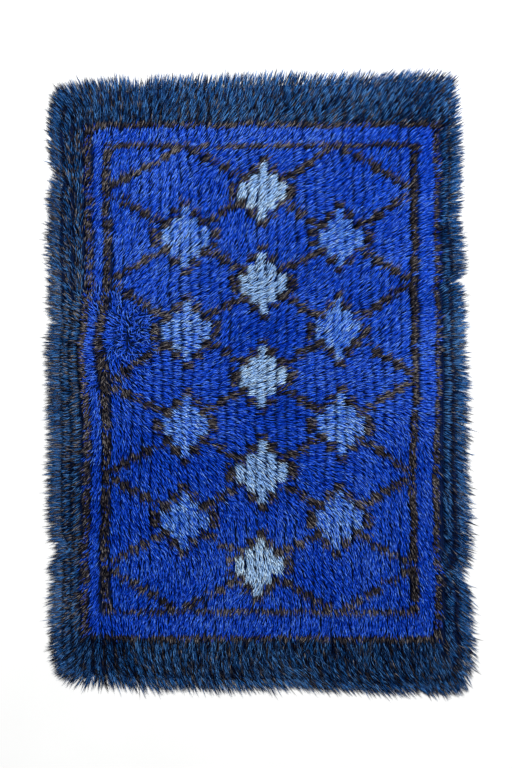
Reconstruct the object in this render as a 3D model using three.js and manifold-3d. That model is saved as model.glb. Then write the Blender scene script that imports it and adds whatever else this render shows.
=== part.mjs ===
// A rya rug: a long-pile wool rug lying flat on the floor, pile side up. Millimetres, +Z up.
// Rows of knots run along the rug's length (Y). The yarn ends of every knot lie over one way, so the pile is
// a low lumpy slab, and the outermost ends stick out past the ground weave as a ragged rim of locks.
// Ground weave, pile and locks are one knotted piece of wool, so they are one solid.
// The origin is the middle of the rug's outer box, on the floor.

import * as THREE from 'three';
import { mergeVertices } from 'three/addons/utils/BufferGeometryUtils.js';
import Module from 'manifold-3d';

const wasm = await Module();
wasm.setup();

// Driving dimensions
const pileHeight = 27; // top of the lying pile over the floor, between lumps and hollows
const rimHeight = 9; // the pile thins out to this at its edge
const shoulder = 80; // width of the strip over which the pile slopes down to the rim
const knotRowPitch = 29; // from one row of knots to the next, across the rug
const tuftLength = 47; // length of a lump along its row
const lumpRise = 4; // each lump stands about this much over or under the mean
const lumpUnevenness = 0.5; // share by which lumps differ from that
const lockPitch = 24.5; // along the rim
const lockReach = 33; // from the pile's edge to a lock's tip, on average
const lockRoot = 14; // how far a lock's root sits inside the pile
const lockWidth = 22; // at the root, a little under the pitch
const lockMiddle = 0.8; // a lock's width and height at its bend, as a share of those at its root
const lockTipWidth = 6;
const lockHeight = 8; // at the root, just under the rim's
const lockTipHeight = 2.5;
const lockBend = 0.35; // share of the reach at which a lock bends into the lie of the wool
const lockUnevenness = { reach: 0.21, width: 0.12, turn: 0.2 }; // shares, and radians of turn

// The pile's four corners, where its straight edges would meet. The rug isn't quite a rectangle:
// its front end is wider than its back end and its right side is longer than its left.
const corners = {
  backLeft: { x: -627, y: 892, round: 85 },
  backRight: { x: 574, y: 931, round: 52 },
  frontRight: { x: 632, y: -929, round: 88 },
  frontLeft: { x: -615, y: -894, round: 84 },
};

// Where the rim draws in, measured along a side from the middle of the rug
const dips = [
  { side: 'left', at: 632, halfLength: 22, depth: 16 },
  { side: 'left', at: 188, halfLength: 20, depth: 15 },
  { side: 'left', at: -507, halfLength: 26, depth: 26 },
  { side: 'left', at: -602, halfLength: 18, depth: 13 },
  { side: 'right', at: 520, halfLength: 26, depth: 18 },
  { side: 'right', at: 318, halfLength: 24, depth: 16 },
  { side: 'right', at: -588, halfLength: 28, depth: 24 },
  { side: 'back', at: -380, halfLength: 26, depth: 19 },
  { side: 'front', at: -470, halfLength: 60, depth: 9 },
  { side: 'front', at: 30, halfLength: 90, depth: 8 },
];

// Slow waves, each with its height and its length over one radian: of the rim in plan, and of the pile's top
const rimWaves = [
  { rise: 2.2, length: 61, start: 1 },
  { rise: 1.6, length: 27, start: 2 },
];
const swells = [
  { rise: 1.9, x: 148, y: 390 },
  { rise: 1.5, x: -310, y: 205 },
];

// Which way the locks of the rim point, in degrees from +X towards +Y, at places round the edge
const rimLie = [
  { x: -640, y: 900, lie: 132 },
  { x: -470, y: 930, lie: 108 },
  { x: -200, y: 940, lie: 94 },
  { x: 120, y: 950, lie: 80 },
  { x: 440, y: 950, lie: 60 },
  { x: 600, y: 930, lie: 47 },
  { x: 630, y: 720, lie: 21 },
  { x: 640, y: 380, lie: 2 },
  { x: 650, y: -60, lie: -6 },
  { x: 655, y: -420, lie: -18 },
  { x: 660, y: -800, lie: -24 },
  { x: 630, y: -950, lie: -52 },
  { x: 300, y: -955, lie: -56 },
  { x: -120, y: -950, lie: -60 },
  { x: -460, y: -935, lie: -76 },
  { x: -625, y: -900, lie: -142 },
  { x: -650, y: -640, lie: 181 },
  { x: -650, y: -100, lie: 179 },
  { x: -650, y: 270, lie: 196 },
  { x: -655, y: 620, lie: 163 },
];

const wool = {
  color: 0x1d3f92,
  roughness: 0.95,
  metalness: 0,
};

// A small repeatable source of uneven numbers from 0 to 1
function unevenness(seed) {
  let state = seed;
  return () => {
    state = (state + 0x6d2b79f5) | 0;
    let mixed = Math.imul(state ^ (state >>> 15), 1 | state);
    mixed = (mixed + Math.imul(mixed ^ (mixed >>> 7), 61 | mixed)) ^ mixed;
    return ((mixed ^ (mixed >>> 14)) >>> 0) / 4294967296;
  };
}

const smooth = THREE.MathUtils.smoothstep;

// The pile's outline. The rug is charted on a square, across from -1 to 1 and along from -1 to 1.
const halfWidth = (corners.frontRight.x - corners.frontLeft.x) / 2;
const halfLength = (corners.backRight.y - corners.frontRight.y) / 2;

// A place in the four-cornered pile with sharp corners
function onQuad(across, along) {
  const right = (1 + across) / 2;
  const back = (1 + along) / 2;
  const { backLeft, backRight, frontRight, frontLeft } = corners;
  const mix = (axis) =>
    (1 - right) * ((1 - back) * frontLeft[axis] + back * backLeft[axis]) +
    right * ((1 - back) * frontRight[axis] + back * backRight[axis]);
  return new THREE.Vector2(mix('x'), mix('y'));
}

function cornerOf(across, along) {
  const end = along > 0 ? 'back' : 'front';
  return corners[end + (across > 0 ? 'Right' : 'Left')];
}

// How far the rim draws in at a place on a side: the dips, and a slow wave of a few millimetres
function drawnIn(side, at) {
  const waved = rimWaves.map(({ rise, length, start }) => rise * Math.sin(at / length + start * side.length));
  const dipped = dips
    .filter((dip) => dip.side === side)
    .map((dip) => dip.depth * Math.exp(-(((at - dip.at) / dip.halfLength) ** 2)));
  return [...waved, ...dipped].reduce((sum, depth) => sum + depth);
}

// A place on the edge itself: across or along is 1 or -1. Corners are arcs, and dips draw the edge in.
function onEdge(across, along) {
  const { round } = cornerOf(across, along);
  const fromMiddle = { x: across * halfWidth, y: along * halfLength };
  const arc = {
    x: THREE.MathUtils.clamp(fromMiddle.x, round - halfWidth, halfWidth - round),
    y: THREE.MathUtils.clamp(fromMiddle.y, round - halfLength, halfLength - round),
  };
  const outward = new THREE.Vector2(fromMiddle.x - arc.x, fromMiddle.y - arc.y).normalize();
  const place = onQuad(
    (arc.x + outward.x * round) / halfWidth,
    (arc.y + outward.y * round) / halfLength,
  );
  const onLongSide = Math.abs(across) >= Math.abs(along);
  const side = onLongSide ? (across > 0 ? 'right' : 'left') : along > 0 ? 'back' : 'front';
  place.addScaledVector(outward, -drawnIn(side, onLongSide ? place.y : place.x));
  return { place, outward };
}

// Any place on the pile: even rows in the middle that bend, the more the nearer, to meet the edge
const bending = 9;

function onPile(across, along) {
  const out = Math.max(Math.abs(across), Math.abs(along));
  const place = onQuad(across, along);
  if (out > 0) {
    const { place: edge } = onEdge(across / out, along / out);
    place.add(edge.sub(onQuad(across / out, along / out)).multiplyScalar(out ** bending));
  }
  return place;
}

// The slab: a lumpy top, a low wall round the rim and a flat underside
const columns = Math.round((2 * halfWidth) / knotRowPitch);
const tufts = Math.round((2 * halfLength) / tuftLength);
const lumpNumbers = unevenness(3);

// The top rises steeply just inside the rim and then gently over the shoulder
function topOfPile(column, tuft, place) {
  const inwards = Math.min(
    (Math.min(column, columns - column) * 2 * halfWidth) / columns,
    (Math.min(tuft, tufts - tuft) * 2 * halfLength) / tufts,
  );
  const full = smooth(inwards, 0, shoulder / 4) * smooth(inwards, -shoulder / 3, shoulder);
  const share = 1 + lumpUnevenness * (2 * lumpNumbers() - 1);
  const lump = ((column + tuft) % 2 ? lumpRise : -lumpRise) * share;
  const swell = swells.reduce((sum, { rise, x, y }) => sum + rise * Math.sin(place.x / x + place.y / y), 0);
  return rimHeight + (pileHeight - rimHeight + lump + swell) * full;
}

function pileSlab() {
  const points = [];
  const faces = [];
  const index = (column, tuft) => tuft * (columns + 1) + column;
  for (let tuft = 0; tuft <= tufts; tuft += 1) {
    for (let column = 0; column <= columns; column += 1) {
      const place = onPile((2 * column) / columns - 1, (2 * tuft) / tufts - 1);
      points.push(place.x, place.y, topOfPile(column, tuft, place));
    }
  }
  for (let tuft = 0; tuft < tufts; tuft += 1) {
    for (let column = 0; column < columns; column += 1) {
      const [a, b] = [index(column, tuft), index(column + 1, tuft)];
      const [d, c] = [index(column, tuft + 1), index(column + 1, tuft + 1)];
      if ((column + tuft) % 2) faces.push(a, b, d, b, c, d);
      else faces.push(a, b, c, a, c, d);
    }
  }

  // The rim, counter-clockwise seen from above
  const rim = [];
  for (let column = 0; column < columns; column += 1) rim.push(index(column, 0));
  for (let tuft = 0; tuft < tufts; tuft += 1) rim.push(index(columns, tuft));
  for (let column = columns; column > 0; column -= 1) rim.push(index(column, tufts));
  for (let tuft = tufts; tuft > 0; tuft -= 1) rim.push(index(0, tuft));
  const floorStart = points.length / 3;
  const outline = rim.map((i) => new THREE.Vector2(points[3 * i], points[3 * i + 1]));
  for (const spot of outline) points.push(spot.x, spot.y, 0);
  for (let i = 0; i < rim.length; i += 1) {
    const next = (i + 1) % rim.length;
    faces.push(rim[i], floorStart + i, floorStart + next);
    faces.push(rim[i], floorStart + next, rim[next]);
  }
  for (const [a, b, c] of THREE.ShapeUtils.triangulateShape(outline, [])) {
    faces.push(floorStart + c, floorStart + b, floorStart + a);
  }
  return closedGeometry(points, faces);
}

function closedGeometry(points, faces) {
  const geometry = new THREE.BufferGeometry();
  geometry.setAttribute('position', new THREE.Float32BufferAttribute(points, 3));
  geometry.setIndex(faces);
  return geometry;
}

// Which way the wool lies at a place on the rim, blended from the nearest rows of the table
const lieBlur = 30;

function lieAt(place) {
  const lie = new THREE.Vector2();
  for (const row of rimLie) {
    const nearness = 1 / (place.distanceToSquared(new THREE.Vector2(row.x, row.y)) + lieBlur ** 2) ** 2;
    const angle = THREE.MathUtils.degToRad(row.lie);
    lie.x += nearness * Math.cos(angle);
    lie.y += nearness * Math.sin(angle);
  }
  return lie.normalize();
}

// A lock: a three-sided taper that lies on the floor on its flat base and bends from the edge's outward
// direction into the way the wool lies
function lock(root, outward, lie, reach, width) {
  const middle = root.clone().addScaledVector(outward, lockRoot).addScaledVector(lie, reach * lockBend);
  const tip = middle.clone().addScaledVector(lie, reach * (1 - lockBend));
  const stations = [
    { at: root, heading: outward, width, height: lockHeight },
    { at: middle, heading: lie, width: width * lockMiddle, height: lockHeight * lockMiddle },
    { at: tip, heading: lie, width: lockTipWidth, height: lockTipHeight },
  ];
  const points = [];
  for (const { at, heading, width: wide, height } of stations) {
    const sideways = new THREE.Vector2(-heading.y, heading.x).multiplyScalar(wide / 2);
    points.push(at.x - sideways.x, at.y - sideways.y, 0);
    points.push(at.x + sideways.x, at.y + sideways.y, 0);
    points.push(at.x, at.y, height);
  }
  const faces = [0, 2, 1, 6, 7, 8];
  for (const ring of [0, 3]) {
    for (let side = 0; side < 3; side += 1) {
      const next = (side + 1) % 3;
      faces.push(ring + side, ring + next, ring + next + 3);
      faces.push(ring + side, ring + next + 3, ring + side + 3);
    }
  }
  return closedGeometry(points, faces);
}

// Locks stand at an even pitch along all four sides, each a little longer or shorter than the next
function rimOfLocks() {
  const lockNumbers = unevenness(7);
  const uneven = (share) => share * (2 * lockNumbers() - 1);
  const across = Math.round((2 * halfWidth) / lockPitch);
  const along = Math.round((2 * halfLength) / lockPitch);
  const stops = [];
  for (let i = 0; i < across; i += 1) stops.push([(2 * i) / across - 1, -1], [1 - (2 * i) / across, 1]);
  for (let i = 0; i < along; i += 1) stops.push([1, (2 * i) / along - 1], [-1, 1 - (2 * i) / along]);
  return stops.map(([a, b]) => {
    const { place, outward } = onEdge(a, b);
    const root = place.clone().addScaledVector(outward, -lockRoot);
    const reach = lockReach * (1 + uneven(lockUnevenness.reach));
    const lie = lieAt(place).rotateAround(new THREE.Vector2(), uneven(lockUnevenness.turn));
    return lock(root, outward, lie, reach, lockWidth * (1 + uneven(lockUnevenness.width)));
  });
}

function solid(geometry) {
  const merged = mergeVertices(geometry, 1e-3);
  return new wasm.Manifold(
    new wasm.Mesh({
      numProp: 3,
      vertProperties: merged.attributes.position.array,
      triVerts: Uint32Array.from(merged.index.array),
    }),
  );
}

let fused = solid(pileSlab());
for (const geometry of rimOfLocks()) fused = fused.add(solid(geometry));
const { vertProperties, triVerts } = fused.getMesh();
const knotted = closedGeometry(vertProperties, Array.from(triVerts));
knotted.computeVertexNormals();
knotted.computeBoundingBox();
const middle = knotted.boundingBox.getCenter(new THREE.Vector3());

const rug = new THREE.Mesh(knotted, new THREE.MeshStandardMaterial(wool));
rug.name = 'rya_rug';
rug.position.set(-middle.x, -middle.y, 0);

const group = new THREE.Group();
group.add(rug);

export default group;
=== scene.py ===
# %% [markdown]
# A rya rug. A rya is knotted: a flat wool ground is woven, and after every few ground wefts a row of knots
# is laid in. Each knot leaves several long yarn ends standing. The ends are so long that they lie over, the
# way the rug was last combed or walked on, and hide the ground and the knots.
#
# The solid part gives the rug's outline, its floor face and the height of its lumpy pile. It is loaded
# first and never changed. Everything below is fitted to it, in metres.

# %% Load the solid part
import math

import bmesh
import bpy
import numpy as np
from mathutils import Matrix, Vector
from mathutils.bvhtree import BVHTree


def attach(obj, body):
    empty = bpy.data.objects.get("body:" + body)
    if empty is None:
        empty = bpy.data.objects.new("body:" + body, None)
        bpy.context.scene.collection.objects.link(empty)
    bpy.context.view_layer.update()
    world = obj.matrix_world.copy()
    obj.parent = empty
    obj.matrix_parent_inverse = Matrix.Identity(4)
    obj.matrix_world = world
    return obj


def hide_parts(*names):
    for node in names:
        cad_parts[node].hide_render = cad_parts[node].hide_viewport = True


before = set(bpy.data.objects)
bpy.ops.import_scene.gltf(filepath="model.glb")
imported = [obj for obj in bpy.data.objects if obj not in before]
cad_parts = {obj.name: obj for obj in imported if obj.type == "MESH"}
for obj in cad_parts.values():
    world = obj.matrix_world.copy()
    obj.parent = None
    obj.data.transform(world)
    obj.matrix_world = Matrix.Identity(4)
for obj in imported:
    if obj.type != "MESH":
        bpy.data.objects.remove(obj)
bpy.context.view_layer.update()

BODY = "root"
NODE = "rya_rug"

# %% [markdown]
# The camera hangs straight over the rug, as in the photo, with a long lens so that the rim isn't seen from
# the side. Its height follows from the size of one pixel on the rug. The rug's middle isn't quite the
# picture's.

# %% Camera
PICTURE_HIGH = 768  # pixels
PICTURE_MIDDLE = (256, 384)  # pixels, from the top left corner
RUG_MIDDLE = (261.2, 383.2)
PIXEL = 0.00306  # one pixel on the rug, in metres
SENSOR = 36  # millimetres
LENS = 85

half_angle = math.atan(SENSOR / 2 / LENS)
camera_data = bpy.data.cameras.new("camera")
camera_data.sensor_width = SENSOR
camera_data.lens = LENS
camera = bpy.data.objects.new("camera", camera_data)
camera.location = (
    (PICTURE_MIDDLE[0] - RUG_MIDDLE[0]) * PIXEL,
    (RUG_MIDDLE[1] - PICTURE_MIDDLE[1]) * PIXEL,
    PICTURE_HIGH / 2 * PIXEL / math.tan(half_angle),
)
bpy.context.scene.collection.objects.link(camera)
bpy.context.scene.camera = camera
print("the camera hangs", round(camera.location.z, 2), "m over the floor")

# %% [markdown]
# The rug was woven by eye, so it is no true rectangle: the front end is wider than the back end, the
# corners are round, and the rim draws in at a few places. A place on the rug is therefore given as across
# and along, each from -1 to 1, and a short function turns that into metres. A drawn curve could give the
# outline too, but not the places inside it. Rows of knots are straight and parallel in the middle, as on the
# loom, and bend with the edges near them.

# %% The rug's plan
SOLID_SHIFT = np.array([-0.0002, -0.0024])  # puts the plan's middle in the middle of the solid's box
CORNERS = np.array([  # front left, front right; back left, back right
    [(-0.615, -0.894), (0.632, -0.929)],
    [(-0.627, 0.892), (0.574, 0.931)],
])
ROUNDS = np.array([[0.084, 0.088], [0.085, 0.052]])  # the corners' radii, in the same order
HALF = np.array([0.6235, 0.930])  # half the width and half the length
BENDING = 9  # how suddenly rows bend near the edge

DIPS = {  # where the rim draws in: at, half length, depth
    "left": [(0.632, 0.022, 0.016), (0.188, 0.020, 0.015), (-0.507, 0.026, 0.026), (-0.602, 0.018, 0.013)],
    "right": [(0.520, 0.026, 0.018), (0.318, 0.024, 0.016), (-0.588, 0.028, 0.024)],
    "back": [(-0.380, 0.026, 0.019)],
    "front": [(-0.470, 0.060, 0.009), (0.030, 0.090, 0.008)],
}
RIM_WAVES = [(0.0022, 0.061, 1), (0.0016, 0.027, 2)]  # rise, length over one radian, start


def on_corners(across, along):
    right = ((1 + across) / 2)[:, None]
    back = ((1 + along) / 2)[:, None]
    front_edge = (1 - right) * CORNERS[0, 0] + right * CORNERS[0, 1]
    back_edge = (1 - right) * CORNERS[1, 0] + right * CORNERS[1, 1]
    return (1 - back) * front_edge + back * back_edge


def on_loom(across, along):
    return np.stack([across, along], axis=1) * HALF + CORNERS.mean(axis=(0, 1))


def drawn_in(side, at):
    depth = sum(rise * np.sin(at / length + start * len(side)) for rise, length, start in RIM_WAVES)
    for middle, half_length, most in DIPS[side]:
        depth = depth + most * np.exp(-(((at - middle) / half_length) ** 2))
    return depth


def on_edge(across, along):
    rounding = ROUNDS[(along > 0).astype(int), (across > 0).astype(int)][:, None]
    from_middle = np.stack([across, along], axis=1) * HALF
    arc = np.clip(from_middle, rounding - HALF, HALF - rounding)
    outward = from_middle - arc
    outward /= np.maximum(np.linalg.norm(outward, axis=1, keepdims=True), 1e-9)
    place = on_corners(*((arc + outward * rounding) / HALF).T)
    on_side = np.abs(across) >= np.abs(along)
    depth = np.select(
        [on_side & (across > 0), on_side, along > 0],
        [drawn_in("right", place[:, 1]), drawn_in("left", place[:, 1]), drawn_in("back", place[:, 0])],
        drawn_in("front", place[:, 0]),
    )
    return place - outward * depth[:, None]


def on_rug(across, along):
    out = np.maximum(np.maximum(np.abs(across), np.abs(along)), 1e-6)
    to_edge = on_edge(across / out, along / out) - on_loom(across / out, along / out)
    return on_loom(across, along) + to_edge * (out ** BENDING)[:, None] + SOLID_SHIFT


edge_middles = on_rug(np.array([-1.0, 1.0, 0.0, 0.0]), np.array([0.0, 0.0, -1.0, 1.0]))
print("middles of the left, right, front and back edges:", edge_middles.round(3).tolist())

# %% [markdown]
# The pile may not stand higher than the solid part does, and it should have the same lumps. So its height
# is measured on the solid: a ray is dropped on it from above, wherever the pile needs a height. That way
# nothing has to be kept the same by hand in two files.

# %% The height of the pile
RAY_START = 1.0
solid_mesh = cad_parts[NODE].data
solid_tree = BVHTree.FromPolygons(
    [v.co.copy() for v in solid_mesh.vertices],
    [tuple(p.vertices) for p in solid_mesh.polygons],
)


def pile_height(places):
    heights = np.zeros(len(places))
    for i, (x, y) in enumerate(places):
        hit = solid_tree.ray_cast(Vector((x, y, RAY_START)), Vector((0, 0, -1)))[0]
        if hit is not None:
            heights[i] = hit.z
    return heights


print("the pile is", round(1000 * pile_height([(0, 0)])[0], 1), "mm high in the middle")

# %% [markdown]
# Long pile never lies one way all over. Here it sweeps up and to the right at the back, to the right in the
# middle and down and to the right at the front, with a swirl to the left at the left side, and it fans out
# over every edge. The chart below holds the direction, in degrees from +X towards +Y, for eleven places
# across and fourteen along, and what lies between is blended, so no painted map is needed. Where neighbours
# in the chart point away from each other the wool parts, and there the ends stand up and scatter.

# %% The lie of the wool
LIE_ACROSS = np.array([-0.64, -0.57, -0.52, -0.46, -0.31, -0.12, 0.09, 0.28, 0.43, 0.54, 0.63])
LIE_CHART = {
    0.93: (140, 120, 112, 100, 84, 76, 74, 58, 50, 50, 45),
    0.84: (150, 126, 110, 96, 72, 70, 60, 56, 50, 38, 24),
    0.71: (164, 95, 52, 52, 58, 44, 38, 46, 42, 32, 10),
    0.50: (168, 98, 48, 50, 50, 60, 44, 36, 20, 10, -5),
    0.29: (184, 120, 60, 48, 42, 40, 36, 38, 36, 26, 0),
    0.16: (176, 180, 174, 164, 4, 44, 30, 40, 24, 20, 4),
    0.04: (180, 170, 160, -80, -4, 32, 22, 28, 12, -6, -6),
    -0.08: (192, 194, 236, -50, -32, 4, 14, -6, -16, -10, -14),
    -0.20: (178, 180, 232, -68, -50, -32, -16, -38, -56, -38, -22),
    -0.45: (182, 200, 234, -76, -54, -66, -64, -68, -72, -58, -12),
    -0.66: (184, 200, 232, -82, -116, -118, -76, -76, -62, -44, -34),
    -0.75: (180, 228, 245, -74, -88, -112, -112, -98, -96, -68, -24),
    -0.86: (190, 225, -110, -58, -62, -78, -48, -52, -54, -62, -46),
    -0.94: (214, 236, 250, -85, -58, -48, -46, -40, -40, -44, -60),
}
lie_along = np.array(sorted(LIE_CHART))
lie_angles = np.radians([LIE_CHART[y] for y in lie_along])
lie_vectors = np.stack([np.cos(lie_angles), np.sin(lie_angles)], axis=2)


def between(marks, values):
    """The number of the mark below each value, and how far the value is towards the next mark."""
    low = np.clip(np.searchsorted(marks, values) - 1, 0, len(marks) - 2)
    part = np.clip((values - marks[low]) / (marks[low + 1] - marks[low]), 0, 1)
    return low, part[:, None]


def lie_at(places):
    """The direction in which the wool lies, and how clearly it does so, from 0 at a parting to 1."""
    i, right = between(LIE_ACROSS, places[:, 0])
    j, back = between(lie_along, places[:, 1])
    front = (1 - right) * lie_vectors[j, i] + right * lie_vectors[j, i + 1]
    behind = (1 - right) * lie_vectors[j + 1, i] + right * lie_vectors[j + 1, i + 1]
    lie = (1 - back) * front + back * behind
    return np.arctan2(lie[:, 1], lie[:, 0]), np.linalg.norm(lie, axis=1)


print("in the middle the wool lies at", round(math.degrees(lie_at(np.zeros((1, 2)))[0][0])), "degrees")

# %% [markdown]
# Shader maths is easier to read as arithmetic than as a heap of nodes, so a small class wraps one output of
# a node, and sums and products of it add Math nodes. A second class makes a material. Its node method adds
# any other node, sets it up and links it, and a few short methods stand for the nodes that are needed
# again.

# %% Tools for materials
class Wire:
    """One output of a node, which can be used in sums and products."""

    def __init__(self, tree, socket):
        self.tree = tree
        self.socket = socket

    def math(self, operation, first, second):
        node = self.tree.nodes.new("ShaderNodeMath")
        node.operation = operation
        for socket, value in zip(node.inputs, (first, second)):
            plug(self.tree, socket, value)
        return Wire(self.tree, node.outputs[0])

    def __add__(self, other):
        return self.math("ADD", self, other)

    def __radd__(self, other):
        return self.math("ADD", other, self)

    def __mul__(self, other):
        return self.math("MULTIPLY", self, other)

    def __rmul__(self, other):
        return self.math("MULTIPLY", other, self)

    def sine(self):
        return self.math("SINE", self, 0)


def plug(tree, socket, value):
    if isinstance(value, Wire):
        tree.links.new(value.socket, socket)
    else:
        socket.default_value = value


class Finish:
    """A material under way. Numbers and colours that are the same all over are given as uniform."""

    def __init__(self, name, uniform):
        self.material = bpy.data.materials.new(name)
        self.material.use_nodes = True
        self.tree = self.material.node_tree
        self.shader = self.tree.nodes["Principled BSDF"]
        for socket, value in uniform.items():
            self.shader.inputs[socket].default_value = value

    def node(self, kind, settings, sockets, output):
        node = self.tree.nodes.new(kind)
        for setting, value in settings.items():
            if setting == "stops":
                set_stops(node.color_ramp, value)
            else:
                setattr(node, setting, value)
        by_name = {s.identifier: s for s in node.inputs}
        for socket, value in sockets.items():
            plug(self.tree, by_name[socket], value)
        return Wire(self.tree, next(s for s in node.outputs if s.identifier == output))

    def ramp(self, factor, stops):
        return self.node("ShaderNodeValToRGB", {"stops": stops}, {"Fac": factor}, "Color")

    def shaded(self, colour, light):
        """A colour times a number from 0 to 1."""
        grey = self.node("ShaderNodeCombineXYZ", {}, {"X": light, "Y": light, "Z": light}, "Vector")
        settings = {"data_type": "RGBA", "blend_type": "MULTIPLY", "clamp_factor": True}
        sockets = {"Factor_Float": 1, "A_Color": colour, "B_Color": grey}
        return self.node("ShaderNodeMix", settings, sockets, "Result_Color")

    def bump(self, height, distance, strength):
        sockets = {"Height": height, "Distance": distance, "Strength": strength}
        return self.node("ShaderNodeBump", {}, sockets, "Normal")

    def drive(self, socket, value):
        plug(self.tree, self.shader.inputs[socket], value)


def set_stops(ramp, stops):
    while len(ramp.elements) < len(stops):
        ramp.elements.new(0.5)
    for element, (position, colour) in zip(ramp.elements, stops):
        element.position = position
        element.color = (*colour, 1)


# %% [markdown]
# The ground is a dense flat weave of dark wool, ribbed because its wefts hide its warps. It is modelled as
# a thin sheet from a grid: the grid is bent to the rug's plan, its top is raised in a low ridge for every
# row of knots, where the yarn bends round the warps, and its faces are extruded down to the floor. Single
# warps and wefts would cost many faces and be hidden by the pile. The sheet ends a little inside the pile's
# edge, because the outermost yarn ends hang over it.

# %% Ground weave
KNOT_ROW_PITCH = 0.029
KNOT_ROWS = round(2 * HALF[0] / KNOT_ROW_PITCH)
GROUND_REACH = (0.984, 0.993)  # the ground's edge across and along, as shares of the way to the pile's edge
GROUND_THICKNESS = 0.003
KNOT_RIDGE = 0.004
GROUND_STEPS = 64  # along


def on_mesh(name, shape):
    mesh = bpy.data.meshes.new(name)
    shape.to_mesh(mesh)
    shape.free()
    piece = bpy.data.objects.new(name, mesh)
    bpy.context.scene.collection.objects.link(piece)
    return piece


def make_ground():
    shape = bmesh.new()
    bmesh.ops.create_grid(shape, x_segments=2 * KNOT_ROWS, y_segments=GROUND_STEPS, size=1)
    chart = np.array([v.co[:2] for v in shape.verts])
    places = on_rug(*(chart * GROUND_REACH).T)
    columns = np.round((chart[:, 0] + 1) * KNOT_ROWS).astype(int)
    tops = GROUND_THICKNESS + KNOT_RIDGE * (columns % 2)
    for vertex, (x, y), z in zip(shape.verts, places, tops):
        vertex.co = (x, y, z)
    underside = bmesh.ops.extrude_face_region(shape, geom=shape.faces[:])["geom"]
    for part in underside:
        if isinstance(part, bmesh.types.BMVert):
            part.co.z = 0
    bmesh.ops.recalc_face_normals(shape, faces=shape.faces[:])
    for face in shape.faces:
        face.smooth = True
    return on_mesh("ground_weave", shape)


ground = make_ground()
print("ground weave:", len(ground.data.polygons), "faces")

# %% [markdown]
# Up close the ground shows weft ribs. They are a pattern of two crossed waves in metres on Object
# coordinates: ribs along the rug's length, and the single wefts across them. The waves drive bump and a
# slight change of tone, and a slow noise keeps the dye uneven. A pattern of waves needs no picture and stays
# sharp from any distance.

# %% Finish of the ground
RIB_PITCH = 0.0055
WEFT_PITCH = 0.0022
DYE_SCALE = 14  # patches of dye in a metre
RIB_TONE = 0.12
WEFT_TONE = 0.06
RIB_HEIGHT = 0.7  # as a share of the weave's height, of which the wefts make the rest
WEAVE_HEIGHT = 0.0006
WEAVE_STRENGTH = 0.8
# The ground's colours are its dark wool and, in part, painted shade: darker still, so that the gaps between
# the ends read as shadow deep in the pile.
GROUND_DYE_AND_SHADE = [(0.25, (0.001, 0.004, 0.018)), (0.55, (0.003, 0.008, 0.034)), (0.85, (0.006, 0.014, 0.050))]

weave = Finish("ground_wool", {"Roughness": 0.95, "Specular IOR Level": 0})
place = weave.node("ShaderNodeTexCoord", {}, {}, "Object")
x_wire = weave.node("ShaderNodeSeparateXYZ", {}, {"Vector": place}, "X")
y_wire = weave.node("ShaderNodeSeparateXYZ", {}, {"Vector": place}, "Y")
ribs = (x_wire * (2 * math.pi / RIB_PITCH)).sine()
wefts = (y_wire * (2 * math.pi / WEFT_PITCH)).sine()
dye = weave.node("ShaderNodeTexNoise", {}, {"Vector": place, "Scale": DYE_SCALE, "Detail": 3}, "Fac")
weave.drive("Base Color", weave.ramp(dye + ribs * RIB_TONE + wefts * WEFT_TONE, GROUND_DYE_AND_SHADE))
weave.drive("Normal", weave.bump(ribs * RIB_HEIGHT + wefts * (1 - RIB_HEIGHT), WEAVE_HEIGHT, WEAVE_STRENGTH))
ground.data.materials.append(weave.material)
print("ground_wool has", len(weave.tree.nodes), "nodes")

# %% [markdown]
# The design is charted knot by knot, as on a weaver's squared paper. A wide dark border runs round a cobalt
# field, with a line of brown-black knots between them and a thin broken frame line inside. The field holds
# a plain diamond trellis with a stepped lozenge at every crossing, in pale grey blue and in sky blue by
# turns. A row of knots is 29 mm wide and a knot 7 mm long, so upright lines are solid and lines across are
# dashes. First the chart itself is laid out, with a number and a place for every knot.

# %% Chart of the knots
KNOT_PITCH = 0.007
ROW_MARKS = ((0, 3, 5, 37, 40, 42), (-0.981, -0.840, -0.752, 0.755, 0.868, 0.965))  # rows, and places across
ROWS_REACH = 0.989  # how far the rows run, as a share of the way to the pile's ends

row_across = np.interp(range(KNOT_ROWS), *ROW_MARKS)
knots_in_row = round(2 * HALF[1] * ROWS_REACH / KNOT_PITCH)
chart = np.meshgrid(range(KNOT_ROWS), range(knots_in_row), indexing="ij")
row_number, knot_number = (numbers.ravel() for numbers in chart)
across = row_across[row_number]
along = ROWS_REACH * (2 * (knot_number + 0.5) / knots_in_row - 1)
print(len(across), "knots on", KNOT_ROWS, "rows")

# %% [markdown]
# Rules on the chart's numbers draw the design, which is easier to change than a list of every knot. The
# field and the frame are boxes on the chart. The trellis is made of two sets of slanting lines, and a lozenge
# is all that is near enough to a crossing, measured across plus along.

# %% Lines and lozenges
LINE_HALF = 0.006  # half the thickness of a line across, in metres
TRELLIS_ROWS = 8  # from one crossing to the next, half the width of a diamond
TRELLIS_ALONG = 0.140  # half the length of a diamond, in metres
TRELLIS_HALF = 0.0095  # half the thickness of its lines
CROSSINGS_ACROSS = range(-1, 2)  # in half diamonds from the middle; every second pair has a crossing
CROSSINGS_ALONG = range(-4, 5)
LOZENGE = (3.0, 0.088)  # half its width in rows and half its length in metres


def inside(rows, ends):
    """The knots from the first to the last of two rows, and between two places along them."""
    return (row_number >= rows[0]) & (row_number <= rows[1]) & (along > ends[0]) & (along < ends[1])


def outline(rows, ends):
    """The knots on the four sides of such a part of the chart."""
    line = LINE_HALF / HALF[1]
    uprights = inside(rows, ends) & ((row_number == rows[0]) | (row_number == rows[1]))
    near_end = np.minimum(np.abs(along - ends[0]), np.abs(along - ends[1])) < line
    return uprights | (near_end & inside(rows, (-1, 1)))


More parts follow.
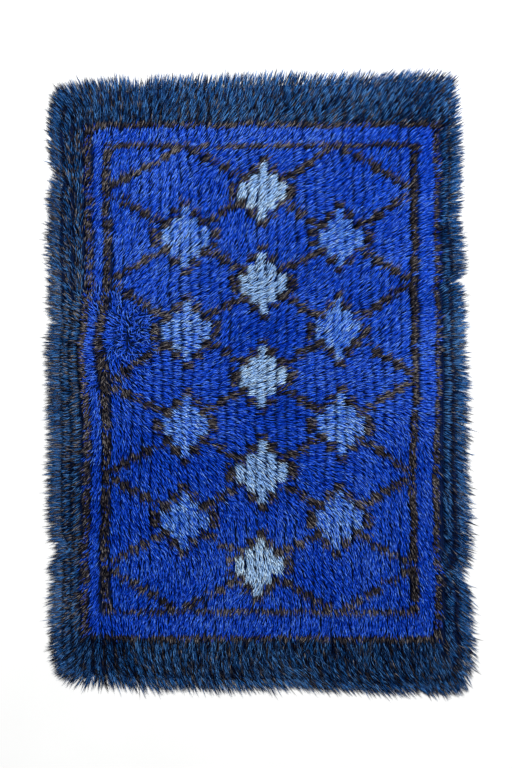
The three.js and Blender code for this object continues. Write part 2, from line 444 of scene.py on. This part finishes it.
def trellis_and_lozenges(rows, ends):
    """Is a knot on a line, how far is a lozenge's middle (1 at its edge), and which yarn's turn is it."""
    row = row_number - (rows[0] + rows[1]) / 2
    y = (along - np.mean(ends)) * HALF[1]
    p, q = row / TRELLIS_ROWS, y / TRELLIS_ALONG
    steepness = math.hypot(1 / (TRELLIS_ROWS * KNOT_ROW_PITCH), 1 / TRELLIS_ALONG)
    off_line = np.minimum(*(np.abs(d - 2 * np.round(d / 2)) / steepness for d in (p + q, p - q)))
    nearest = np.full(len(row), np.inf)
    turn = np.zeros(len(row), int)
    for i in CROSSINGS_ACROSS:
        for j in CROSSINGS_ALONG:
            if (i + j) % 2 == 0:
                far = np.abs(row - i * TRELLIS_ROWS) / LOZENGE[0] + np.abs(y - j * TRELLIS_ALONG) / LOZENGE[1]
                turn = np.where(far < nearest, j % 2, turn)
                nearest = np.minimum(far, nearest)
    return off_line < TRELLIS_HALF, nearest, turn


# %% [markdown]
# Now the chart is filled in, from the lowest layer of the design to the highest: border, field, the line
# round it, trellis and outlines, lozenges, frame line. A few knots of each line are left out at random, as
# the lines on such rugs are never quite whole.

# %% Fill in the chart
NAVY, BROWN, COBALT, PALE, SKY = range(5)
FIELD_ROWS = (3, 40)
FIELD_ENDS = (-0.822, 0.839)
FRAME_ROWS = (5, 37)
FRAME_ENDS = (-0.734, 0.771)
OUTLINE = 1.30  # the outline's outer size as a share of the lozenge's
BREAKS = 0.06  # the share of a line's knots that are left in the colour beside it

chance = np.random.default_rng(5)  # a fixed start, so that every run draws the same numbers
unbroken = chance.uniform(0, 1, len(across)) > BREAKS
in_frame = inside(FRAME_ROWS, FRAME_ENDS)
on_trellis, lozenge, turn = trellis_and_lozenges(FRAME_ROWS, FRAME_ENDS)

knot_yarn = np.full(len(across), NAVY)
knot_yarn[inside(FIELD_ROWS, FIELD_ENDS)] = COBALT
knot_yarn[outline(FIELD_ROWS, FIELD_ENDS) & unbroken] = BROWN
knot_yarn[in_frame & (on_trellis | (lozenge < OUTLINE)) & unbroken] = BROWN
knot_yarn[in_frame & (lozenge < 1) & (turn == 0)] = PALE
knot_yarn[in_frame & (lozenge < 1) & (turn == 1)] = SKY
knot_yarn[outline(FRAME_ROWS, FRAME_ENDS) & unbroken] = BROWN
print("knots of navy, brown, cobalt, pale and sky:", np.bincount(knot_yarn).tolist())

# %% [markdown]
# Rows of knots give a full fringe at the sides and a thin one at the ends. So an edging of more navy knots
# runs once round the rim, evenly spaced, and the fringe is alike on all four sides. Only now are the
# chart's numbers turned into places on the rug.

# %% Edging
EDGING_PITCH = 0.013
EDGING = (0.990, 0.994)  # where the edging's knots are, as shares of the way to the pile's edge
lap = np.arange(0, 1, EDGING_PITCH / (4 * HALF.sum()))
way_round = np.array([(-1, -1), (1, -1), (1, 1), (-1, 1), (-1, -1)])
lengths = np.cumsum([0, *(2 * np.tile(HALF, 2))]) / (4 * HALF.sum())
edging = [np.interp(lap, lengths, way_round[:, axis]) * EDGING[axis] for axis in (0, 1)]
across, along = np.concatenate([[across, along], edging], axis=1)
row_number = np.append(row_number, np.zeros(len(lap), int))
knot_yarn = np.append(knot_yarn, np.full(len(lap), NAVY))
knots = on_rug(across, along)
print(len(lap), "knots in the edging,", len(knots), "in all")

# %% [markdown]
# Nothing on a hand-knotted rug is ruled. The rows wander a few millimetres to the left and right, and the
# wool turns a little from one patch to the next. Both come from long waves: a handful of sines with
# directions and lengths drawn at random, which give one smooth number for every place. A number drawn for
# each knot alone would make the lines ragged instead of wavy. Both keep still at the rim.

# %% Wandering rows
WAVES = 12
ROW_WANDER = 0.0035  # metres
ROW_WAVES_PER_METRE = 3.2
ROW_SEED = 3


def long_waves(places, per_metre, seed):
    """A smooth number for each place, as often below nought as above it, with a spread of one."""
    drawn = np.random.default_rng(seed)
    waves = drawn.normal(0, per_metre, (WAVES, 2))
    phases = drawn.uniform(0, 2 * math.pi, WAVES)
    return np.sin(2 * math.pi * places @ waves.T + phases).mean(axis=1) * math.sqrt(2 * WAVES)


still = np.maximum(np.abs(across), np.abs(along)) ** BENDING
wander = ROW_WANDER * long_waves(knots, ROW_WAVES_PER_METRE, ROW_SEED) * (1 - still)
knots[:, 0] += wander
print("rows wander by up to", round(1000 * np.abs(wander).max(), 1), "mm")

# %% [markdown]
# The pile isn't trimmed to one length. It is short and neat in the field, long in the border at both ends
# and longest to look at round the rim, where it hangs out over the ground. Brown lines across the rows are
# made of dashes, which are a little longer so that they meet, while a run of brown along its row is kept
# narrow. The left border is faded and more ruffled than the right one. A table holds the habits of each
# zone of the rug, so that one recipe can make all of them.

# %% Zones of the pile
ZONES = {  # reach, share of the spread across, push aside, disorder, height of the tip, thickness
    "field": (0.027, 0.88, 0.0020, 0.08, 0.62, 0.0021),
    "dash": (0.034, 1.00, 0.0025, 0.09, 0.62, 0.0022),
    "run": (0.020, 0.45, 0.0025, 0.09, 0.62, 0.0023),
    "faded": (0.031, 0.82, 0.0030, 0.12, 0.66, 0.0021),
    "side": (0.028, 0.48, 0.0025, 0.08, 0.66, 0.0021),
    "end": (0.043, 0.80, 0.0030, 0.11, 0.88, 0.0020),
    "rim": (0.044, 1.00, 0.0020, 0.12, 0.90, 0.0021),
    "fringe": (0.054, 0.90, 0.0030, 0.11, 0.90, 0.0021),
}
RUN_HALF = 4  # brown is a run along its row if the knots so far off on both sides are brown too
SIDE_ENDS = 0.83  # the side borders' ends, as shares of the way to the rug's ends
RIM_FROM = 0.965  # where the fringe starts at both ends, as a share of the same way

border = knot_yarn == NAVY
brown = knot_yarn == BROWN
run = brown & np.roll(brown, RUN_HALF) & np.roll(brown, -RUN_HALF)
at_end = np.abs(along) > RIM_FROM
outermost = (row_number == 0) | (row_number == KNOT_ROWS - 1)
at_side = np.abs(along) < SIDE_ENDS
faded = at_side & (across < 0)
zone_names = np.select(
    [run, brown, border & at_end, border & outermost, border & faded, border & at_side, border],
    ["run", "dash", "fringe", "rim", "faded", "side", "end"],
    "field",
)
print({str(name): int((zone_names == name).sum()) for name in ZONES})

# %% [markdown]
# The wool that leaves a knot lies in the direction of the chart, wanders with its patch and strays a little
# of its own accord. It reaches as far out as its zone says. At a parting it stands up more, so it reaches
# less far and strays widely, and at one place a foot has pressed it down and out.

# %% Lie and reach of every knot
PARTED_DISORDER = 0.9  # added to the disorder at a parting
PARTED_REACH = 0.65  # at a parting, as a share of the usual reach
KNOT_TURN = 0.5  # how far a whole knot is turned and stretched, as shares of its disorder
KNOT_STRETCH = 0.3
LIE_WANDER = 0.16  # how far the lie turns from patch to patch, in radians
LIE_WAVES_PER_METRE = 3.5
LIE_SEED = 4
PRESSED = (-0.49, 0.09)  # where the foot has pressed the pile down
PRESSED_SIZE = (0.07, 0.12)
PRESSED_REACH = 0.018  # added to the reach there

chance = np.random.default_rng(11)
habits = np.array([ZONES[name] for name in zone_names])
knot_lie, clear = lie_at(knots)
disorder = habits[:, 3]
straying = disorder + PARTED_DISORDER * (1 - clear)
knot_lie += chance.normal(0, KNOT_TURN, len(knots)) * straying
knot_lie += LIE_WANDER * long_waves(knots, LIE_WAVES_PER_METRE, LIE_SEED) * (1 - still)
pressed = np.exp(-(((knots - PRESSED) / PRESSED_SIZE) ** 2).sum(axis=1))
knot_reach = habits[:, 0] + PRESSED_REACH * pressed
knot_reach *= 1 + chance.normal(0, KNOT_STRETCH, len(knots)) * disorder
knot_reach *= PARTED_REACH + (1 - PARTED_REACH) * clear
print("knots reach from", knot_reach.min().round(3), "to", knot_reach.max().round(3), "m")

# %% [markdown]
# Every knot leaves several yarn ends, and each of them gets a root of its own. The roots of a knot are spread
# evenly over its place, but less wide than the rows are apart, which leaves the fine furrows between them.
# Where the wool lies along its row, the ends fan out, or bare ground would show. Hair particles could make
# such a pile too, but then the ends couldn't follow the chart one by one.

# %% Spread of the roots
ENDS_PER_KNOT = 8
SPREAD_STEP = 5  # each next root goes so many places on across, so that they don't stand in line
UNEVEN = 0.25  # how far roots stray from an even spread, as a share of it
FANNING = 0.0024  # added to the spread where the ends lie along their row
PARTED_SPREAD = 0.0040  # added to it at a parting
ROW_COVER = 0.5  # how much of a narrow spread is made up for where the ends lie along their row

count = len(knots) * ENDS_PER_KNOT
of_knot = np.repeat(np.arange(len(knots)), ENDS_PER_KNOT)
number = np.tile(np.arange(ENDS_PER_KNOT), len(knots))
even = np.stack([number * SPREAD_STEP / ENDS_PER_KNOT, (number + 0.5) / ENDS_PER_KNOT], axis=1)
even[:, 0] = (even[:, 0] + chance.uniform(0, 1, len(knots))[of_knot]) % 1
even = 2 * even - 1 + chance.uniform(-UNEVEN, UNEVEN, (count, 2))
along_row = np.abs(np.sin(knot_lie))
share = habits[:, 1] + (1 - habits[:, 1]) * ROW_COVER * along_row ** 2
wider = FANNING * along_row + PARTED_SPREAD * (1 - clear)
print(count, "yarn ends")

# %% [markdown]
# In the borders, a few ends of a knot are brown or black, always those on its left. They make thin dark
# stripes between the rows: in every row at the rug's ends, and in three rows at its sides. These ends are
# shorter and lie on top, or the next row would hide them. Their roots aren't drawn in, so they stand clear
# of the others.

# %% Dark stripes in the borders, and the roots
KNOT_SPREAD = (0.0105, 0.0038)  # how far roots are from their knot at most, across the rows and along them
STRIPED_ROWS = (1, 2, KNOT_ROWS - 1)  # at the sides
STRIPE_FROM = -0.60  # ends whose roots are further left than this, from -1 to 1, belong to the stripe
STRIPE_REACH = (0.85, 0.55)  # as a share of the usual reach, at the rug's ends and at its sides

striped = border & (np.isin(row_number, STRIPED_ROWS) | ~at_side)
stripe = striped[of_knot] & (even[:, 0] < STRIPE_FROM)
on_top = stripe | brown[of_knot]
across_rows = KNOT_SPREAD[0] * np.where(stripe, 1, share[of_knot]) + wider[of_knot]
along_rows = np.full(count, KNOT_SPREAD[1])
along_rows[-len(lap) * ENDS_PER_KNOT:] = EDGING_PITCH / 2  # the edging's knots come last
root = knots[of_knot] + even * np.stack([across_rows, along_rows], axis=1)
print(int(stripe.sum()), "ends in the stripes")

# %% [markdown]
# An end rises from its root and bends over into the lie, so its middle line is a curve with three points:
# root, knee and tip. More points wouldn't show in so short a yarn. The tip lies out from the root by the
# end's reach and is pushed aside a little by its neighbours. The knee is nearer to the root and higher,
# because long yarn springs up before it falls over. Each end lies in its own layer of the pile, and both
# heights are shares of the pile's height at their place.

# %% Curves of the ends
KNEE = 0.22  # where the bend is, as a share of the reach
KNEE_RISE = 1.32  # height of the bend's control point, as a share of the pile's height there
KNEE_ASIDE = 0.8  # how much of the push aside the knee has
TIP_CLEARANCE = 0.0022  # no tip is lower than this, so that none dips into the floor
LOW_LAYER = 0.55  # the lowest ends lie this far up, as a share of the pile's height
BROWN_LAYER = 0.65  # the same within those layers for brown lines and stripes, which stay on top
THICKNESS_SPREAD = 0.1  # as a share of the thickness

sideways, tip_rise, thickness = habits[of_knot][:, [2, 4, 5]].T


def towards(angle, distance):
    return np.stack([np.cos(angle), np.sin(angle)], axis=1) * distance[:, None]


reach = knot_reach[of_knot] * np.where(stripe, np.take(STRIPE_REACH, at_side[of_knot]), 1)
reach *= 1 + chance.normal(0, 1, count) * disorder[of_knot]
layer = chance.uniform(0, 1, count)
lie = knot_lie[of_knot] + chance.normal(0, 1, count) * straying[of_knot]
aside = chance.normal(0, 1, count) * sideways
tip = root + towards(lie, reach) + towards(lie + math.pi / 2, aside)
knee = root + towards(lie, reach * KNEE) + towards(lie + math.pi / 2, aside * KNEE_ASIDE)
height = LOW_LAYER + (1 - LOW_LAYER) * np.where(on_top, BROWN_LAYER + (1 - BROWN_LAYER) * layer, layer)
knee_z = pile_height(knee) * height * KNEE_RISE
tip_z = np.maximum(pile_height(tip) * height * tip_rise, TIP_CLEARANCE)
root_z = np.full(count, GROUND_THICKNESS)
points = [np.column_stack([flat, z]) for flat, z in ((root, root_z), (knee, knee_z), (tip, tip_z))]
width = thickness * chance.normal(1, THICKNESS_SPREAD, count)
print("the ends reach", reach.min().round(3), "to", reach.max().round(3), "m over the pile")

# %% [markdown]
# Tone is one number for each end, from 0 to 1. It picks the end's colour out of its yarn's range, so the
# dye is as uneven as in real wool: a little from end to end, a little from knot to knot, and a little from
# row to row, where one skein ran out and the next began. Broad faded and dark patches come from long waves.
# Tone also carries painted light: ends that lie deep in the pile are painted darker, as the shade down
# there, and the field is painted a little paler towards the back and darker at the front. A noise in the
# material could do this too, but would change along an end, and a dyed yarn has one tone.

# %% Tone of every end
TONES = 64
ROW_DRIFT = 0.5  # how much rows differ
# The layer's share of the tone is painted shade: ends that lie deep in the pile are darker.
ROW_TONE, KNOT_TONE, OWN_TONE, LAYER_SHADE = 0.05, 0.05, 0.22, 0.20
PATCH_WAVES_PER_METRE = 1.8
PATCH_TONE = 0.07
PATCH_SEED = 22185
# Painted light: the field's back half is painted paler and its front half darker, as if lit more strongly
# from the back.
PAINTED_FIELD_LIGHT = 0.055  # the field's back half is paler and its front half darker, by this at most

end_yarn = knot_yarn[of_knot]
row_tone = chance.normal(0, ROW_DRIFT, KNOT_ROWS)[row_number][of_knot]
knot_tone = chance.normal(0, 1, len(knots))[of_knot]
own_tone = chance.normal(0, 1, count)
patches = long_waves(knots, PATCH_WAVES_PER_METRE, PATCH_SEED)[of_knot]
tone = 0.5 + ROW_TONE * row_tone + KNOT_TONE * knot_tone + OWN_TONE * own_tone + LAYER_SHADE * (layer - 0.5)
tone += PATCH_TONE * patches
tone += PAINTED_FIELD_LIGHT * np.sin(math.pi * along[of_knot]) * (end_yarn == COBALT)
tone = np.clip(np.floor(tone * TONES), 0, TONES - 1)
print("mean tone", round(tone.mean() / TONES, 3))

# %% [markdown]
# A knot is tied with several strands of wool at once, and a weaver mixes shades in it on purpose: three
# blues in the field, navy with teal and black in the border, a few dark or blue ends in the brown. So every
# end draws a lot, and the lot picks its strand. Each strand becomes one piece of the model, with one
# finish.

# %% Strands
LOT_DRIFT = 0.10  # how much a row's tone shifts its lots
REST = math.inf
LOTS = {  # for each yarn, the lots below which a strand is dealt
    COBALT: [(0.33, "pile_cobalt_light"), (0.67, "pile_cobalt"), (REST, "pile_cobalt_deep")],
    NAVY: [(0.36, "pile_navy"), (0.82, "pile_teal"), (REST, "pile_black")],
    SKY: [(0.68, "pile_sky"), (REST, "pile_cobalt_light")],
    BROWN: [(0.70, "pile_brown"), (0.90, "pile_black"), (REST, "pile_cobalt_deep")],
    PALE: [(REST, "pile_pale")],
}
FADED_LOTS = [(0.12, "pile_navy"), (0.62, "pile_teal"), (0.96, "pile_brown"), (REST, "pile_black")]
STRIPE_LOTS = [(0.15, "pile_brown"), (REST, "pile_black")]

lot = chance.uniform(0, 1, count) + LOT_DRIFT * row_tone
piece_of = np.empty(count, dtype=object)


def deal(ends, lots):
    for most, name in reversed(lots):
        piece_of[ends & (lot < most)] = name


for yarn, lots in LOTS.items():
    deal(end_yarn == yarn, lots)
deal((border & faded)[of_knot], FADED_LOTS)
deal(stripe, STRIPE_LOTS)
names = sorted(set(piece_of))
print({name: int((piece_of == name).sum()) for name in names})

# %% [markdown]
# One yarn end is a three-sided spike: a cone with a ring cut into it. Three sides are enough at 2 mm,
# because smooth shading rounds them. The spike is made once with mesh operators, and then its few points
# are repeated along the middle line of every end, all in one array, which makes tens of thousands of ends
# in a second. Unwrapping it gives every corner its place round and along the yarn.

# %% One yarn end
YARN_RING = 0.66  # the ring's place, as a share of the length
GIRTH = [(0, 0.8), (0.3, 1), (0.62, 0.95), (0.85, 0.6), (1, 0)]  # place, share of the width


def yarn_end():
    shape = bmesh.new()
    bmesh.ops.create_cone(shape, cap_ends=True, segments=3, radius1=1, radius2=0, depth=1)
    bmesh.ops.translate(shape, verts=shape.verts[:], vec=(0, 0, 0.5))
    geometry = shape.verts[:] + shape.edges[:] + shape.faces[:]
    bmesh.ops.bisect_plane(shape, geom=geometry, plane_co=(0, 0, YARN_RING), plane_no=(0, 0, 1))
    bmesh.ops.triangulate(shape, faces=shape.faces[:])
    shape.verts.index_update()
    at = np.array([v.co.z for v in shape.verts])
    angle = np.array([math.atan2(v.co.y, v.co.x) for v in shape.verts])
    corners = np.array([[v.index for v in f.verts] for f in shape.faces])
    shape.free()
    return at, angle, corners


def unwrapped(at, angle, corners):
    """For each corner of each face: how far round the yarn it is, from 0 to 1, and how far along."""
    turn = (angle[corners] / (2 * math.pi)) % 1
    pointed = np.isclose(at[corners], 1)
    for face, tips in zip(turn, pointed):
        ring = face[~tips]
        if ring.max() - ring.min() > 0.5:  # the face crosses the seam
            ring = np.where(ring < 0.5, ring + 1, ring)
        face[~tips] = ring
        face[tips] = ring.mean()
    return np.stack([turn, at[corners]], axis=2)


at, angle, corners = yarn_end()
yarn_uv = unwrapped(at, angle, corners)
girth = np.interp(at, *zip(*GIRTH)) / 2
print("one yarn end has", len(corners), "triangles")

# %% [markdown]
# Two UV maps go on the ends. Yarn runs round and along each end, for the ply and the darker roots. The
# second is for baking the colours into a picture: ends of one tone share one square of it, and as their
# finish depends on nothing but tone, round and along, they can lie on top of each other.

# %% Sow the ends
SQUARES = 8  # squares on each side of the baking map
SQUARE_EDGE = 0.08  # left free in each square
ROUND_ROOM = 0.5  # round runs on past 1 where a face crosses the seam, so it gets half the width


def sow(name, chosen):
    start, bend, end = (p[chosen][:, None, :] for p in points)
    s = at[None, :, None]
    line = (1 - s) ** 2 * start + 2 * s * (1 - s) * bend + s ** 2 * end
    ahead = (1 - s) * (bend - start) + s * (end - bend)
    ahead /= np.linalg.norm(ahead, axis=2, keepdims=True)
    side = np.cross([0, 0, 1], ahead)
    side /= np.linalg.norm(side, axis=2, keepdims=True)
    up = np.cross(ahead, side)
    half = (width[chosen][:, None] * girth)[:, :, None]
    places = line + half * (np.cos(angle)[None, :, None] * side + np.sin(angle)[None, :, None] * up)
    n = len(start)
    mesh = bpy.data.meshes.new(name)
    mesh.vertices.add(n * len(at))
    mesh.vertices.foreach_set("co", places.ravel())
    faces = (corners[None] + (np.arange(n) * len(at))[:, None, None]).ravel()
    mesh.loops.add(len(faces))
    mesh.loops.foreach_set("vertex_index", faces)
    mesh.polygons.add(len(faces) // 3)
    mesh.polygons.foreach_set("loop_start", np.arange(0, len(faces), 3))
    mesh.update(calc_edges=True)
    mesh.shade_smooth()
    tones = tone[chosen]
    mesh.attributes.new("tone", "FLOAT", "POINT").data.foreach_set(
        "value", np.repeat((tones + 0.5) / TONES, len(at))
    )
    yarn_map = np.broadcast_to(yarn_uv.reshape(1, -1, 2), (n, yarn_uv.size // 2, 2))
    square = np.stack([tones % SQUARES, tones // SQUARES], axis=1)[:, None, :]
    spread = np.array([ROUND_ROOM, 1]) * (1 - 2 * SQUARE_EDGE)
    bake_map = (square + SQUARE_EDGE + yarn_map * spread) / SQUARES
    for map_name, values in (("Yarn", yarn_map), ("OFBake", bake_map)):
        mesh.uv_layers.new(name=map_name).data.foreach_set("uv", values.ravel())
    piece = bpy.data.objects.new(name, mesh)
    bpy.context.scene.collection.objects.link(piece)
    return piece


pile = {name: sow(name, piece_of == name) for name in names}
print({name: len(piece.data.polygons) for name, piece in pile.items()})

# %% [markdown]
# All the pile is worsted wool, so one recipe serves every yarn, with its own range of colours. An end's
# colour is painted darker towards its root, as the shade where light hardly reaches, and has its full
# colour at the tip. Its two plies show as fine slanting stripes. The wool's reflections are off, which keeps
# the dark blues deep, and its sheen is painted into the palest colours of the blue yarns instead.

# %% Finish of the pile
PLIES = 2
PLY_TURNS = 5  # turns of the plies over the length of an end
PLY_START = 7  # turns from the palest tone to the darkest, so that not all plies start alike
PLY_TONE = 0.05
PLY_HEIGHT = 0.0003
PLY_STRENGTH = 0.5
# Painted shade: the root's colour is darkened to this share of the tip's, as light hardly reaches it.
ROOT_SHADE = 0.62  # the root's colour as a share of the tip's
WOOL = {"Roughness": 0.8, "Specular IOR Level": 0}
# In the blue ramps the palest stop is whiter than the dye. There the colour is partly painted sheen
# highlight, because the wool's own reflections are off.
COBALT_LIGHT = [(0.05, (0.006, 0.070, 0.56)), (0.5, (0.022, 0.128, 0.83)), (0.95, (0.15, 0.34, 0.96))]
COBALT_MIDDLE = [(0.05, (0.002, 0.035, 0.43)), (0.5, (0.010, 0.080, 0.72)), (0.95, (0.09, 0.24, 0.90))]
COBALT_DEEP = [(0.05, (0.001, 0.015, 0.26)), (0.5, (0.003, 0.043, 0.50)), (0.95, (0.04, 0.14, 0.74))]
NAVY_COLOURS = [(0.05, (0.001, 0.005, 0.022)), (0.5, (0.007, 0.030, 0.115)), (0.95, (0.06, 0.155, 0.36))]
TEAL_COLOURS = [(0.05, (0.002, 0.022, 0.090)), (0.5, (0.013, 0.092, 0.30)), (0.95, (0.09, 0.25, 0.55))]
BLACK_COLOURS = [(0.05, (0.001, 0.001, 0.004)), (0.62, (0.011, 0.012, 0.019)), (0.95, (0.07, 0.072, 0.085))]
BROWN_COLOURS = [(0.05, (0.007, 0.006, 0.009)), (0.55, (0.058, 0.049, 0.049)), (0.9, (0.24, 0.22, 0.215))]
PALE_COLOURS = [(0.05, (0.19, 0.38, 0.80)), (0.5, (0.40, 0.64, 0.99)), (0.95, (0.72, 0.88, 0.99))]
SKY_COLOURS = [(0.05, (0.05, 0.19, 0.75)), (0.5, (0.16, 0.38, 0.96)), (0.95, (0.46, 0.68, 0.99))]
YARNS = {  # the slot in the record, and the colours from the darkest tone to the palest
    "pile_cobalt_light": ("cobalt_wool", COBALT_LIGHT),
    "pile_cobalt": ("cobalt_wool", COBALT_MIDDLE),
    "pile_cobalt_deep": ("cobalt_wool", COBALT_DEEP),
    "pile_navy": ("navy_wool", NAVY_COLOURS),
    "pile_teal": ("navy_wool", TEAL_COLOURS),
    "pile_black": ("brown_wool", BLACK_COLOURS),
    "pile_brown": ("brown_wool", BROWN_COLOURS),
    "pile_pale": ("pale_wool", PALE_COLOURS),
    "pile_sky": ("sky_wool", SKY_COLOURS),
}


def wool(name, colours):
    finish = Finish(name, WOOL)
    tone_wire = finish.node("ShaderNodeAttribute", {"attribute_name": "tone"}, {}, "Fac")
    yarn_map = finish.node("ShaderNodeUVMap", {"uv_map": "Yarn"}, {}, "UV")
    turn = finish.node("ShaderNodeSeparateXYZ", {}, {"Vector": yarn_map}, "X")
    along_wire = finish.node("ShaderNodeSeparateXYZ", {}, {"Vector": yarn_map}, "Y")
    plies = ((turn * PLIES + along_wire * PLY_TURNS + tone_wire * PLY_START) * (2 * math.pi)).sine()
    colour = finish.ramp(tone_wire + plies * PLY_TONE, colours)
    finish.drive("Base Color", finish.shaded(colour, ROOT_SHADE + (1 - ROOT_SHADE) * along_wire))
    finish.drive("Normal", finish.bump(plies, PLY_HEIGHT, PLY_STRENGTH))
    return finish.material


for name, piece in pile.items():
    slot, colours = YARNS[name]
    piece.data.materials.append(wool(name, colours))
print(len(pile), "finishes of wool in the slots", sorted({slot for slot, colours in YARNS.values()}))

# %% [markdown]
# The rug lies on a plain pale floor. It is one large square, and much larger than the rug, so that low views
# end in floor and not in nothing. A faint noise keeps it from looking like paper.

# %% Floor
FLOOR_HALF = 14
FLOOR_COLOURS = [(0.3, (0.605, 0.603, 0.596)), (0.7, (0.623, 0.621, 0.615))]

shape = bmesh.new()
bmesh.ops.create_grid(shape, x_segments=1, y_segments=1, size=FLOOR_HALF)
floor = on_mesh("floor", shape)
paint = Finish("floor_paint", {"Roughness": 0.9, "Specular IOR Level": 0.2})
place = paint.node("ShaderNodeTexCoord", {}, {}, "Object")
cloud = paint.node("ShaderNodeTexNoise", {}, {"Vector": place, "Scale": 2.5, "Detail": 4}, "Fac")
paint.drive("Base Color", paint.ramp(cloud, FLOOR_COLOURS))
floor.data.materials.append(paint.material)
print("the floor is", 2 * FLOOR_HALF, "m wide")

# %% [markdown]
# The photo has even studio light with hardly a shadow on the floor, a little stronger at the back. A pale
# world fills the shadows, a wide sun gives the yarn ends a lit and a shaded side all over the rug, and a
# lamp near the back end makes it the brighter one. Colours are shown as they are, without a film look,
# because the cobalt is nearly pure.

# %% Light
WORLD_COLOUR = (0.97, 0.985, 1, 1)
WORLD_STRENGTH = 0.66
PANEL_PLACE = (1.0, 1.35, 1.75)
LAMP_PLACE = (0.8, 1.9, 2.1)

bpy.context.scene.view_settings.view_transform = "Standard"
world = bpy.data.worlds.new("studio")
world.use_nodes = True
world.node_tree.nodes["Background"].inputs["Color"].default_value = WORLD_COLOUR
world.node_tree.nodes["Background"].inputs["Strength"].default_value = WORLD_STRENGTH
bpy.context.scene.world = world


def aim(name, data, at):
    """Hang a light at a place and turn it to the middle of the rug."""
    light = bpy.data.objects.new(name, data)
    light.location = at
    light.rotation_euler = (-Vector(at)).to_track_quat("-Z", "Y").to_euler()
    bpy.context.scene.collection.objects.link(light)


panel = bpy.data.lights.new("panel", "SUN")
panel.energy = 2.95
panel.angle = math.radians(25)
aim("panel", panel, PANEL_PLACE)

lamp = bpy.data.lights.new("lamp", "AREA")
lamp.shape = "DISK"
lamp.size = 1.0
lamp.energy = 85
aim("lamp", lamp, LAMP_PLACE)
print("lights:", {light.name: round(light.energy, 2) for light in (panel, lamp)})

# %% [markdown]
# Last, every piece rides on the rug's one body and stands for the solid, which is hidden.

for piece in (ground, *pile.values()):
    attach(piece, BODY)
    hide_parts(NODE)
